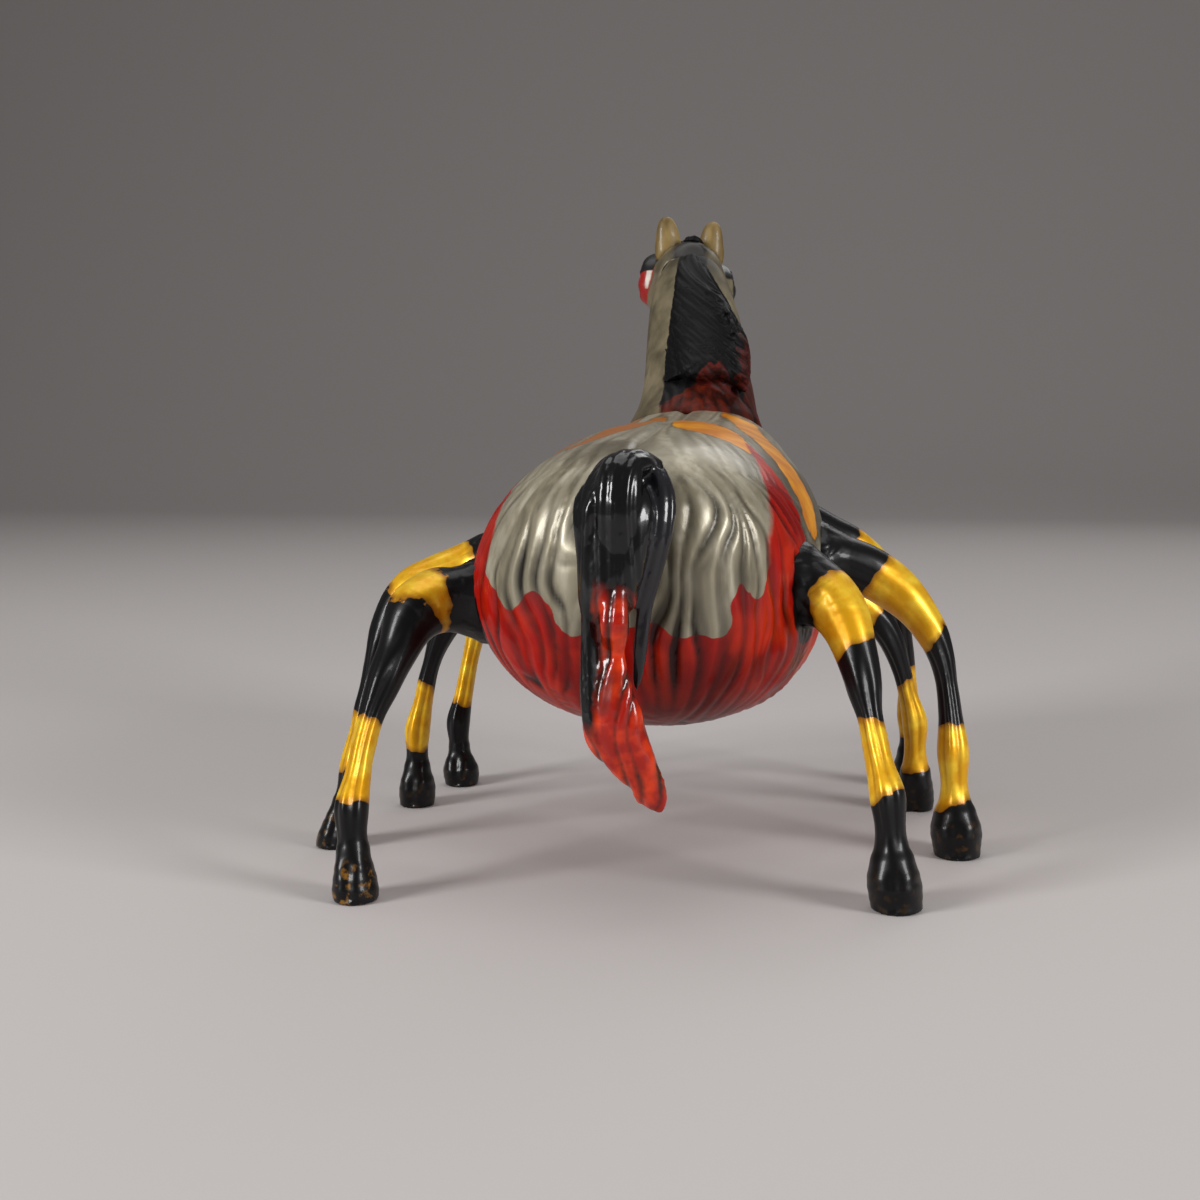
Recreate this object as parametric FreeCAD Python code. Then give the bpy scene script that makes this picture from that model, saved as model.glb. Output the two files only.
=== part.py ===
import FreeCAD, Part
import math
import os

Vector = FreeCAD.Vector

# All lengths are in millimetres and all angles in degrees.
# Body: an egg that lies on its side
body_length = 83.6
body_width = 41.4
body_height = 34.7
belly_above_floor = 17.0
# how far the back and the belly stand to the right of the waist's middle
body_lean = 1.8
# where the body is widest, as a share of its height
body_waist_share = 0.46
# how square the body's section is: 1 is an ellipse
body_fullness_share = 1.13
# along the body, half width, underside and back, each as a share of the body's size
body_shares = (
    (0.0, 0.10, 0.44, 0.60),
    (0.0125, 0.33, 0.29, 0.77),
    (0.0495, 0.62, 0.14, 0.89),
    (0.109, 0.82, 0.055, 0.955),
    (0.188, 0.93, 0.015, 0.985),
    (0.283, 0.985, 0.0, 1.0),
    (0.389, 1.0, 0.0, 1.02),
    (0.5, 0.97, 0.02, 1.03),
    (0.611, 0.89, 0.05, 1.05),
    (0.717, 0.80, 0.095, 1.07),
    (0.812, 0.72, 0.15, 1.075),
    (0.891, 0.61, 0.235, 1.03),
    (0.95, 0.46, 0.35, 0.93),
    (0.9875, 0.26, 0.48, 0.81),
    (1.0, 0.10, 0.58, 0.71),
)

# Stance: where the eight hooves stand
# how far the hooves that are set widest stand out beyond the body's sides
leg_reach = 18.1
stance_width = body_width + 2 * leg_reach
stance_length_share = 0.8577
stance_length = body_length * stance_length_share
hooves_behind_rump = 2.2

# Legs: thickness seen from behind, from the body down to the sole
hip_thickness = 8.8
thigh_thickness = 6.6
gaskin_thickness = 5.3
forearm_thickness = 4.2
cannon_thickness = 2.8
fetlock_thickness = 3.8
pastern_thickness = 3.3
hoof_width = 5.5
hoof_length = 6.6
fetlock_height = 9.2
# how much deeper a leg is from front to back than it is thick
leg_depth_share = 1.12
# how far the toe stands ahead of the pastern, as a share of the hoof's length
toe_lead_share = 0.14
# places of these thicknesses, as shares of the way from inside the hip down to the fetlock
leg_places = (
    (0.0, hip_thickness),
    (0.17, thigh_thickness),
    (0.36, gaskin_thickness),
    (0.54, forearm_thickness),
    (0.68, cannon_thickness),
    (0.84, cannon_thickness),
    (1.0, fetlock_thickness),
)
# below the fetlock, at even steps: pastern girths, then hoof girths down to the flat sole
pastern_shares = (1.0, 1.08)
hoof_shares = (0.86, 1.0, 0.95)
upper_leg_steps = 10
# how far along the leg, either way, a section looks to set its tilt, so that it turns evenly
leg_outlook_share = 0.10
# how far the leg's casting runs on inside the body before it is cut to the body's skin
leg_root_overlap = 4.0

# Core wires and pins that hold the castings together
wire_diameter = 1.0
wire_socket_depth = 6.0
wire_bend_share = 0.45
pin_diameter = 2.0
pin_depth = 6.0
tail_pin_diameter = 1.2
# where along the neck the middle of the head's pin sits
head_pin_share = 0.78
glue_gap = 0.06

# Neck, from inside the withers up to the poll
neck_root_share = 0.82
neck_sink = 6.9
neck_reach = 15.0
neck_rise = 29.0
neck_lean = 2.4
neck_root_offset = 0.9
neck_width = 21.0
neck_depth = 26.0
# along the neck from its root to the poll, width and depth
neck_girth_shares = (
    (0.0, 1.0, 1.0),
    (0.2, 0.85, 0.88),
    (0.4, 0.75, 0.77),
    (0.6, 0.68, 0.68),
    (0.8, 0.60, 0.58),
    (1.0, 0.36, 0.32),
)
# ahead, up and to the left along the neck, as shares of its reach, rise and lean
neck_path_shares = ((0.0, 0.0, 0.0), (0.47, 0.41, 0.17), (0.80, 0.76, 0.67), (1.0, 1.0, 1.0))

# Head, which droops and is turned to the left
head_length = 28.0
head_width = 11.4
head_depth = 13.0
head_droop = 38.0
head_turn = 14.5
# how far the back of the skull reaches behind the top of the neck
head_overlap = 2.2
# how far the crown rolls over to the right
head_tilt = 7.0
# along the head: half width, reach up to the nose line and down to the jaw, as shares
head_shares = (
    (0.0, 0.30, 0.34, 0.40),
    (0.04, 0.62, 0.64, 0.74),
    (0.12, 0.88, 0.84, 0.98),
    (0.26, 1.0, 0.90, 1.12),
    (0.40, 0.90, 0.80, 1.04),
    (0.56, 0.66, 0.66, 0.72),
    (0.72, 0.54, 0.56, 0.50),
    (0.86, 0.58, 0.52, 0.52),
    (0.96, 0.49, 0.42, 0.46),
    (1.0, 0.24, 0.22, 0.24),
)
ear_height = 7.4
ear_width = 3.4
ear_depth = 2.4
ear_spacing = 5.8
ear_place_share = 0.20
ear_seat_share = 0.40
# along the ear from its seat to its tip, girth
ear_girth_shares = ((0.0, 0.80), (0.30, 0.95), (0.58, 1.0), (0.80, 0.82), (0.94, 0.52), (1.0, 0.16))
ear_splay = 6.0
eye_diameter = 4.6
eye_place_share = 0.31
eye_height_share = 0.22
# how much of the eye's ball stands out of the head
eye_bulge_share = 0.42

# Mane and forelock
mane_width = 12.6
mane_depth = 9.0
# how much of the mane's depth lies below the crest before it is cut to the neck
mane_sink_share = 0.25
mane_shift = 2.0
# place along the neck, width, depth and shift to the right
mane_shares = (
    (0.20, 0.96, 0.90, 1.0),
    (0.34, 1.0, 1.0, 1.0),
    (0.52, 0.94, 0.95, 0.9),
    (0.68, 0.78, 0.82, 0.7),
    (0.84, 0.54, 0.66, 0.4),
    (0.97, 0.34, 0.50, 0.1),
)
forelock_length = 8.0
forelock_width = 4.2
forelock_depth = 2.8
forelock_seat_share = 0.60
# along the forelock from the poll to its tip, girth
forelock_girth_shares = ((0.0, 0.25), (0.12, 0.70), (0.35, 1.0), (0.65, 0.90), (0.88, 0.55), (1.0, 0.18))

# Tail, which stands off the rump and hangs down behind it
tail_root_share = 0.07
tail_sink = 2.6
tail_drop = 34.6
tail_standoff = 11.2
tail_tip_offset = 4.4
tail_width = 9.9
tail_depth = 5.6
# behind the root, down and to the right, width and depth, each as a share of the tail's own size
tail_shares = (
    (0.0, 0.0, 0.0, 0.40, 0.72),
    (0.34, -0.04, -0.02, 0.46, 0.80),
    (0.64, -0.02, 0.0, 0.62, 0.88),
    (0.86, 0.06, 0.10, 0.98, 1.0),
    (0.96, 0.20, 0.12, 0.88, 0.98),
    (1.0, 0.35, 0.02, 0.73, 0.88),
    (1.0, 0.50, -0.02, 0.65, 0.80),
    (1.0, 0.65, 0.02, 0.66, 0.80),
    (1.0, 0.75, 0.12, 0.66, 0.80),
    (1.0, 0.85, 0.62, 0.50, 0.70),
    (0.95, 0.93, 0.92, 0.44, 0.62),
    (0.88, 1.0, 1.0, 0.17, 0.30),
)

# The eight legs. side is 1 on the right. station is the hip's place along the body and lift its place
# round the body, in degrees above the waist. The hoof's place is a share of half the stance's width and
# of its length. Places between are shares of the way out from hip to hoof, of the hip's height, and of
# the way along from hip to hoof.
leg_shares = {
    "right_hind_leg": {
        "side": 1, "station": 0.21, "lift": 3.0, "girth": 1.04, "hoof": 1.09, "fetlock_rise": 1.28,
        "hoof_place": (0.78, 0.088), "fetlock_place": (0.90, 0.88),
        "route": ((0.32, 0.96, 0.20), (0.55, 0.80, 0.40), (0.73, 0.56, 0.66))},
    "left_hind_leg": {
        "side": -1, "station": 0.20, "lift": -6.0, "girth": 1.0, "hoof": 0.90, "fetlock_rise": 1.0,
        "hoof_place": (0.74, 0.0), "fetlock_place": (1.08, 0.90),
        "route": ((0.57, 0.99, 0.27), (0.82, 0.80, 0.48), (1.04, 0.58, 0.69))},
    "right_rear_middle_leg": {
        "side": 1, "station": 0.39, "lift": 9.0, "girth": 1.02, "hoof": 1.13, "fetlock_rise": 1.33,
        "hoof_place": (0.97, 0.437), "fetlock_place": (0.96, 0.60),
        "route": ((0.33, 0.95, -0.3), (0.66, 0.84, -0.3), (0.92, 0.65, 0.0))},
    "left_rear_middle_leg": {
        "side": -1, "station": 0.39, "lift": 6.0, "girth": 0.98, "hoof": 0.90, "fetlock_rise": 1.0,
        "hoof_place": (1.0, 0.328), "fetlock_place": (0.88, 0.82),
        "route": ((0.39, 0.93, 0.18), (0.65, 0.86, 0.35), (0.82, 0.54, 0.62))},
    "right_front_middle_leg": {
        "side": 1, "station": 0.605, "lift": -6.0, "girth": 0.90, "hoof": 0.90, "fetlock_rise": 1.3,
        "hoof_place": (0.85, 0.788), "fetlock_place": (0.98, 0.62),
        "route": ((0.33, 0.90, 0.0), (0.61, 0.82, 0.14), (0.83, 0.66, 0.27))},
    "left_front_middle_leg": {
        "side": -1, "station": 0.58, "lift": -6.0, "girth": 0.90, "hoof": 0.90, "fetlock_rise": 1.08,
        "hoof_place": (0.90, 0.665), "fetlock_place": (0.99, 0.81),
        "route": ((0.57, 0.88, 0.32), (0.77, 0.75, 0.48), (0.90, 0.56, 0.65))},
    "right_foreleg": {
        "side": 1, "station": 0.785, "lift": 9.0, "girth": 0.88, "hoof": 0.92, "fetlock_rise": 1.1,
        "hoof_place": (0.84, 1.0), "fetlock_place": (0.97, 0.80),
        "route": ((0.54, 0.88, 0.26), (0.84, 0.74, 0.38), (0.94, 0.52, 0.51))},
    "left_foreleg": {
        "side": -1, "station": 0.785, "lift": -7.0, "girth": 0.88, "hoof": 0.94, "fetlock_rise": 0.9,
        "hoof_place": (0.83, 0.867), "fetlock_place": (1.03, 0.86),
        "route": ((0.36, 0.94, 0.10), (0.80, 0.79, 0.36), (0.94, 0.56, 0.54))},
}

# points round each lofted section
ring_points = 16


# Closed ring round a centre, with its own reach above and below the first axis. A fullness over 1
# squares it, and a lean shifts its top and bottom along the first axis.
def ring(centre, first, second, half_first, half_above, half_below=None, fullness=1, lean=0):
    points = []
    for number in range(ring_points):
        angle = 2 * math.pi * (number / ring_points - 0.25)
        out = math.copysign(abs(math.cos(angle)) ** (1 / fullness), math.cos(angle))
        rise = math.copysign(abs(math.sin(angle)) ** (1 / fullness), math.sin(angle))
        reach = half_above if rise > 0 or half_below is None else half_below
        aside = half_first * out + lean * abs(rise)
        points.append(centre + first * aside + second * (reach * rise))
    curve = Part.BSplineCurve()
    curve.interpolate(Points=points, PeriodicFlag=True)
    return Part.Wire([curve.toShape()])


def loft(rings):
    return Part.makeLoft(rings, True, False)


def spline_through(points):
    curve = Part.BSplineCurve()
    curve.interpolate(Points=points)
    return curve


# A curve that rounds the corners of a route
def spline_near(points):
    curve = Part.BSplineCurve()
    curve.buildFromPoles(points, False, 2)
    return curve


def unit(vector):
    return vector * (1 / vector.Length)


# The part of an axis that is square to a direction
def square_to(axis, direction):
    return unit(axis - direction * axis.dot(direction))


def between(low, high, share):
    return low + (high - low) * share


# Position and direction at a share of a curve's length
def place_on(curve, share):
    parameter = curve.parameterAtDistance(curve.length() * share, curve.FirstParameter)
    return curve.value(parameter), unit(curve.tangent(parameter)[0])


# Columns of a table at a place, between its rows
def from_table(rows, place):
    for low, high in zip(rows, rows[1:]):
        if place <= high[0]:
            break
    share = (place - low[0]) / (high[0] - low[0])
    return [between(a, b, share) for a, b in zip(low[1:], high[1:])]


# Half width, waist height, reach up and reach down of the body at a share of its length
def body_section(share):
    half_width, low, high = from_table(body_shares, share)
    bottom = belly_above_floor + body_height * low
    top = belly_above_floor + body_height * high
    waist = between(bottom, top, body_waist_share)
    return body_width / 2 * half_width, waist, top - waist, waist - bottom


def make_body():
    rings = []
    for row in body_shares:
        half_width, waist, up, down = body_section(row[0])
        centre = Vector(0, body_length * row[0], waist)
        rings.append(ring(centre, Vector(1, 0, 0), Vector(0, 0, 1), half_width, up, down,
                          body_fullness_share, body_lean * half_width / (body_width / 2)))
    return loft(rings)


# Where a leg leaves the body
def hip_point(leg):
    half_width, waist, up, down = body_section(leg["station"])
    angle = math.radians(leg["lift"])
    reach = up if angle > 0 else down
    return Vector(leg["side"] * half_width * math.cos(angle), body_length * leg["station"],
                  waist + reach * math.sin(angle))


def sole_point(leg):
    out, along = leg["hoof_place"]
    return Vector(leg["side"] * stance_width / 2 * out, stance_length * along - hooves_behind_rump, 0)


# The leg's line from inside the body to the fetlock, with the hip on its first straight run
def leg_points(leg):
    hip = hip_point(leg)
    sole = sole_point(leg)
    points = [Vector(between(hip.x, sole.x, out), between(hip.y, sole.y, along), hip.z * rise)
              for out, rise, along in leg["route"]]
    out, along = leg["fetlock_place"]
    points.append(Vector(between(hip.x, sole.x, out), between(hip.y, sole.y, along),
                         fetlock_height * leg["fetlock_rise"]))
    points.insert(0, hip + unit(hip - points[0]) * wire_socket_depth)
    return points


# Straight runs joined by tangent arcs
def bent_path(points):
    edges = []
    last = points[0]
    for before, corner, after in zip(points, points[1:], points[2:]):
        back = unit(before - corner)
        ahead = unit(after - corner)
        cut = wire_bend_share * min((before - corner).Length, (after - corner).Length)
        enter = corner + back * cut
        leave = corner + ahead * cut
        half_angle = back.getAngle(ahead) / 2
        radius = cut * math.tan(half_angle)
        middle = corner + unit(back + ahead) * (radius / math.sin(half_angle) - radius)
        edges.append(Part.LineSegment(last, enter).toShape())
        edges.append(Part.Arc(enter, middle, leave).toShape())
        last = leave
    edges.append(Part.LineSegment(last, points[-1]).toShape())
    return Part.Wire(edges)


def make_wire(points):
    path = bent_path(points)
    start = unit(points[1] - points[0])
    section = Part.Wire([Part.Circle(points[0], start, wire_diameter / 2).toShape()])
    return path.makePipeShell([section], True, False)


# Leg casting: hip, thigh, gaskin, cannon and fetlock, then pastern and a flat-soled hoof
def make_leg(leg, points):
    hip = hip_point(leg)
    sole = sole_point(leg)
    outward = unit(Vector(leg["side"], 0, 0) + unit(points[1] - hip))
    curve = spline_near([hip - outward * leg_root_overlap, hip] + points[1:])
    ahead = Vector(0, 1, 0)
    rings = []
    for step in range(upper_leg_steps + 1):
        share = step / upper_leg_steps
        centre = place_on(curve, share)[0]
        before = place_on(curve, max(share - leg_outlook_share, 0))[0]
        after = place_on(curve, min(share + leg_outlook_share, 1))[0]
        along = unit(after - before)
        deep = square_to(ahead, along)
        half = from_table(leg_places, share)[0] * leg["girth"] / 2
        rings.append(ring(centre, deep, along.cross(deep), half * leg_depth_share, half))

    fetlock = points[-1]
    aside = Vector(1, 0, 0)
    pastern = pastern_thickness * leg["girth"] / 2
    foot = [(pastern * girth * leg_depth_share, pastern * girth) for girth in pastern_shares]
    foot += [(hoof_length / 2 * leg["hoof"] * girth, hoof_width / 2 * leg["hoof"] * girth)
             for girth in hoof_shares]
    for number, (half_length, half_width) in enumerate(foot, 1):
        down = number / len(foot)
        centre = fetlock + (sole - fetlock) * down + ahead * (hoof_length * toe_lead_share * down)
        rings.append(ring(centre, ahead, aside, half_length, half_width))
    return loft(rings)


def neck_curve():
    half_width, waist, up, down = body_section(neck_root_share)
    root = Vector(neck_root_offset, body_length * neck_root_share, waist + up - neck_sink)
    return spline_through([root + Vector(-neck_lean * lean, neck_reach * ahead, neck_rise * rise)
                           for ahead, rise, lean in neck_path_shares])


# Centre and axes of the neck at a share of its length: across, towards the crest, and up the neck
def neck_frame(share):
    centre, up = place_on(neck_curve(), share)
    across = square_to(Vector(1, 0, 0), up)
    return centre, across, across.cross(up), up


# Half width and half depth of the neck at a share of its length
def neck_half_sizes(share):
    wide, deep = from_table(neck_girth_shares, share)
    return neck_width / 2 * wide, neck_depth / 2 * deep


def make_neck():
    rings = []
    for row in neck_girth_shares:
        centre, across, crest, up = neck_frame(row[0])
        half_width, half_depth = neck_half_sizes(row[0])
        rings.append(ring(centre, across, crest, half_width, half_depth))
    return loft(rings)


# Mane: a thick lock that lies on the crest and falls to the right side
def make_mane():
    rings = []
    for share, wide, deep, shift in mane_shares:
        centre, across, crest, up = neck_frame(share)
        half_width, half_depth = neck_half_sizes(share)
        rise = half_depth - mane_depth * deep * mane_sink_share
        middle = centre + crest * rise + across * (mane_shift * shift)
        rings.append(ring(middle, across, crest, mane_width / 2 * wide, mane_depth / 2 * deep))
    return loft(rings)


# Head axes: ahead along the nose, to the right, and up through the crown
def head_frame():
    centre, across, crest, up = neck_frame(1.0)
    droop = math.radians(head_droop)
    turn = math.radians(head_turn)
    tilt = math.radians(head_tilt)
    right = Vector(math.cos(turn), math.sin(turn), 0)
    level = Vector(-math.sin(turn), math.cos(turn), 0)
    ahead = level * math.cos(droop) + Vector(0, 0, -math.sin(droop))
    crown = right.cross(ahead)
    rolled = right * math.cos(tilt) - crown * math.sin(tilt)
    return centre - ahead * head_overlap, ahead, rolled, rolled.cross(ahead)


def make_head():
    origin, ahead, right, crown = head_frame()
    rings = []
    for along, wide, above, below in head_shares:
        centre = origin + ahead * (head_length * along)
        rings.append(ring(centre, right, crown, head_width / 2 * wide,
                          head_depth / 2 * above, head_depth / 2 * below))
    return loft(rings)


def make_ear(side):
    origin, ahead, right, crown = head_frame()
    seat = origin + ahead * (head_length * ear_place_share) + right * (side * ear_spacing / 2)
    seat = seat + crown * (head_depth / 2 * ear_seat_share)
    splay = math.radians(ear_splay)
    rise = Vector(0, 0, math.cos(splay)) + right * (side * math.sin(splay))
    front = square_to(ahead, rise)
    across = front.cross(rise)
    rings = []
    for along, wide in ear_girth_shares:
        rings.append(ring(seat + rise * (ear_height * along), across, front,
                          ear_width / 2 * wide, ear_depth / 2 * wide))
    return loft(rings)


def make_eye(side):
    origin, ahead, right, crown = head_frame()
    out = head_width / 2 - eye_diameter / 2 + eye_diameter * eye_bulge_share
    centre = origin + ahead * (head_length * eye_place_share) + right * (side * out)
    centre = centre + crown * (head_depth / 2 * eye_height_share)
    return Part.makeSphere(eye_diameter / 2, centre)


def make_forelock():
    origin, ahead, right, crown = head_frame()
    seat = origin + crown * (head_depth / 2 * forelock_seat_share)
    rings = []
    for along, wide in forelock_girth_shares:
        centre = seat + ahead * (forelock_length * along)
        rings.append(ring(centre, right, crown, forelock_width / 2 * wide, forelock_depth / 2 * wide))
    return loft(rings)


def tail_points():
    half_width, waist, up, down = body_section(tail_root_share)
    root = Vector(0, body_length * tail_root_share, waist + up - tail_sink)
    return [root + Vector(tail_tip_offset * right, -tail_standoff * behind, -tail_drop * down)
            for behind, down, right, wide, deep in tail_shares]


def make_tail():
    points = tail_points()
    curve = spline_through(points)
    rings = []
    for point, (behind, down, right, wide, deep) in zip(points, tail_shares):
        along = unit(curve.tangent(curve.parameter(point))[0])
        across = square_to(Vector(1, 0, 0), along)
        rings.append(ring(point, across, along.cross(across), tail_width / 2 * wide, tail_depth / 2 * deep))
    return loft(rings)


def make_pin(start, end, diameter):
    return Part.makeCylinder(diameter / 2, (end - start).Length, start, end - start)


# Each node of the figure, cut where it meets its neighbours
def make_figure():
    nodes = {}
    body = make_body()
    neck = make_neck()
    head = make_head()

    neck_seat, across, crest, up = neck_frame(neck_sink / neck_rise)
    neck_ends = (neck_seat - up * pin_depth, neck_seat + up * pin_depth)
    head_seat, across, crest, up = neck_frame(head_pin_share)
    head_ends = (head_seat - up * pin_depth, head_seat + up * pin_depth)
    tail_root, tail_bend = tail_points()[:2]
    into_body = unit(tail_root - tail_bend)
    tail_ends = (tail_bend, tail_root + into_body * pin_depth)
    nodes["neck_pin"] = make_pin(*neck_ends, pin_diameter)
    nodes["head_pin"] = make_pin(*head_ends, pin_diameter)
    nodes["tail_pin"] = make_pin(*tail_ends, tail_pin_diameter)
    neck_bore = make_pin(*neck_ends, pin_diameter + 2 * glue_gap)
    head_bore = make_pin(*head_ends, pin_diameter + 2 * glue_gap)
    tail_bore = make_pin(*tail_ends, tail_pin_diameter + 2 * glue_gap)

    sockets = [neck_bore, tail_bore]
    for name, leg in leg_shares.items():
        points = leg_points(leg)
        core = make_wire(points)
        nodes[name] = make_leg(leg, points).cut(body).cut(core)
        nodes[f"{name}_wire"] = core
        beyond_hip = hip_point(leg) * 2 - points[0]
        sockets.append(make_pin(points[0], beyond_hip, wire_diameter + 2 * glue_gap))

    eyes = {side: make_eye(side) for side in (-1, 1)}
    nodes["left_eye"] = eyes[-1]
    nodes["right_eye"] = eyes[1]
    nodes["tail"] = make_tail().cut(body).cut(tail_bore)
    nodes["mane"] = make_mane().cut(neck).cut(body).cut(head)
    nodes["forelock"] = make_forelock().cut(head).cut(nodes["mane"])
    nodes["left_ear"] = make_ear(-1).cut(head)
    nodes["right_ear"] = make_ear(1).cut(head)
    nodes["head"] = head.cut(neck).cut(head_bore).cut(eyes[-1]).cut(eyes[1])
    nodes["neck"] = neck.cut(body).cut(neck_bore).cut(head_bore)
    nodes["body"] = body.cut(Part.makeCompound(sockets))
    return nodes


# The origin is put on the floor, at the middle of everything's footprint
def centred(nodes):
    box = Part.makeCompound(list(nodes.values())).optimalBoundingBox(False, False)
    shift = Vector(-box.Center.x, -box.Center.y, -box.ZMin)
    return {name: shape.translated(shift) for name, shape in nodes.items()}


os.makedirs("parts", exist_ok=True)
for name, shape in sorted(centred(make_figure()).items()):
    shape.exportStep(f"parts/{name}.step")
    print(name, len(shape.Solids), shape.isValid(), round(shape.Volume, 1))
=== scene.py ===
import math
import bpy
import numpy as np
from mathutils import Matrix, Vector
from mathutils.bvhtree import BVHTree


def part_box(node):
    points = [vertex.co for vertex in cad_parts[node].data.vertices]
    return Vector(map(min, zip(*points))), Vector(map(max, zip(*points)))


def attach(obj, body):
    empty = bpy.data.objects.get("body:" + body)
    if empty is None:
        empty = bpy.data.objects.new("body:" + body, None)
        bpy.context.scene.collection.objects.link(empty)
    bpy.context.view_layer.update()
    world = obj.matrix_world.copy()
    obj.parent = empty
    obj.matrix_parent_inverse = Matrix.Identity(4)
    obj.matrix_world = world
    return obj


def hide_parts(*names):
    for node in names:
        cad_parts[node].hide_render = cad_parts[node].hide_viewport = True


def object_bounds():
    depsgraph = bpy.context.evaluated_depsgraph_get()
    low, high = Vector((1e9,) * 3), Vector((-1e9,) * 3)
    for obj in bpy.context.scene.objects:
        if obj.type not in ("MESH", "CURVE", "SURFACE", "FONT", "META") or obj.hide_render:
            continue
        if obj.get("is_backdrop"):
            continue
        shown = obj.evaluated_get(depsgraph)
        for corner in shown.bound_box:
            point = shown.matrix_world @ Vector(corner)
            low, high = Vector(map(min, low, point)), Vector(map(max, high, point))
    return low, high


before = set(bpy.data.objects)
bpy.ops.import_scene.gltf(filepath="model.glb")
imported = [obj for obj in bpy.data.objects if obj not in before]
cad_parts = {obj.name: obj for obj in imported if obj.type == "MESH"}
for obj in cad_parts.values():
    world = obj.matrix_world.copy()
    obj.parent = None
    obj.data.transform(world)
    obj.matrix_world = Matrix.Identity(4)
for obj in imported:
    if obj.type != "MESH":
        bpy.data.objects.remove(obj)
cad_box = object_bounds()

# Camera. It stands behind the horse, a little to its right and above its back, and looks level
# enough to see under the belly. Its place is measured from the rump.
MM = 0.001
beside_spine, behind_rump, above_floor = 28.8 * MM, 181.4 * MM, 52.5 * MM
down_degrees, left_degrees = 5.84, 9.5
body_low, body_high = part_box("body")
camera_data = bpy.data.cameras.new("camera")
camera_data.sensor_width = 36
camera_data.lens = 51.9
camera = bpy.data.objects.new("camera", camera_data)
bpy.context.scene.collection.objects.link(camera)
camera.location = ((body_low[0] + body_high[0]) / 2 + beside_spine, body_low[1] - behind_rump, above_floor)
camera.rotation_euler = (math.radians(90 - down_degrees), 0, math.radians(left_degrees))
bpy.context.scene.camera = camera
bpy.context.scene.view_settings.view_transform = "Standard"

# Floor and light. A pale sweep that lies flat under the figure and rises far behind it. One large soft
# lamp stands behind the camera's left, one on its right and one above, and a weak one on the far side
# draws the outline. Sizes and places are in metres, powers in watts.
floor_half, bend_at, bend_radius, wall_top = 1.6, 0.75, 0.5, 1.5
bend_steps = 12
figure_middle = Vector((0, 0, 0.04))
lamps = (
    ("left_light", (-0.42, -0.42, 0.26), 0.20, 3.2),
    ("right_light", (0.50, -0.26, 0.24), 0.20, 2.5),
    ("top_light", (-0.05, 0.10, 0.70), 0.60, 1.7),
    ("rim_light", (0.15, 0.55, 0.45), 0.30, 0.5),
)


def linear(code):
    parts = [int(code[place:place + 2], 16) / 255 for place in (1, 3, 5)]
    lit = [part / 12.92 if part <= 0.04045 else ((part + 0.055) / 1.055) ** 2.4 for part in parts]
    return (*lit, 1)


# Adds a node: inputs go to its sockets in order, settings to the socket or the property of that name
def add(tree, kind, *inputs, out=0, **settings):
    made = tree.nodes.new("ShaderNode" + kind)
    pairs = list(enumerate(inputs))
    for key, value in settings.items():
        socket = key.replace("_", " ")
        if socket in made.inputs:
            pairs.append((socket, value))
        else:
            setattr(made, key, value)
    for socket, value in pairs:
        if isinstance(value, bpy.types.NodeSocket):
            tree.links.new(value, made.inputs[socket])
        else:
            made.inputs[socket].default_value = value
    return made.outputs[out] if made.outputs else None


def new_material(name):
    material = bpy.data.materials.new(name)
    material.use_nodes = True
    material.node_tree.nodes.clear()
    return material, material.node_tree


def new_object(name, mesh):
    made = bpy.data.objects.new(name, mesh)
    bpy.context.scene.collection.objects.link(made)
    return made


# Matte paint: pale and without a gleam, so that only shadows show on it
floor_paint, tree = new_material("matte_floor_paint")
add(tree, "OutputMaterial", add(tree, "BsdfPrincipled", Base_Color=linear("#b4afad"), Roughness=0.9))
profile = [(-floor_half, 0), (bend_at, 0)]
for step in range(1, bend_steps + 1):
    angle = math.pi / 2 * step / bend_steps
    profile.append((bend_at + bend_radius * math.sin(angle), bend_radius * (1 - math.cos(angle))))
profile.append((bend_at + bend_radius, wall_top))
floor_points, floor_faces = [], []
for along, rise in profile:
    floor_points += [(-floor_half, along, rise), (floor_half, along, rise)]
for first in range(0, 2 * len(profile) - 2, 2):
    floor_faces.append((first, first + 1, first + 3, first + 2))
floor_mesh = bpy.data.meshes.new("floor")
floor_mesh.from_pydata(floor_points, [], floor_faces)
floor_mesh.materials.append(floor_paint)
floor_mesh.polygons.foreach_set("use_smooth", [True] * len(floor_mesh.polygons))
floor = new_object("floor", floor_mesh)
floor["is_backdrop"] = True

for name, place, width, power in lamps:
    lamp_data = bpy.data.lights.new(name, "AREA")
    lamp_data.size = width
    lamp_data.energy = power
    lamp = new_object(name, lamp_data)
    lamp.location = place
    lamp.rotation_euler = (figure_middle - Vector(place)).to_track_quat("-Z", "Y").to_euler()
world = bpy.data.worlds.new("studio")
world.use_nodes = True
bpy.context.scene.world = world
world.node_tree.nodes["Background"].inputs["Color"].default_value = linear("#d5d2d2")
world.node_tree.nodes["Background"].inputs["Strength"].default_value = 0.22

# Body. An egg of muscle cast in resin, with hair grooves that run from the tail's root out and down
# over the rump, painted by brush in pearl taupe over deep red, with orange and red stripes, and
# lacquered. It is taken from its plain solid and carved along its normals, all in millimetres.
map_centre = np.array((0.3, -28.3, 36.0))
degree_mm = 0.35
groove_degrees, groove_depth, fine_depth, sharpening = 7.0, 0.55, 0.26, 1.1
lift, muscle_height, lump_height, spine_depth = 0.18, 0.25, 0.28, 0.55

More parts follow.
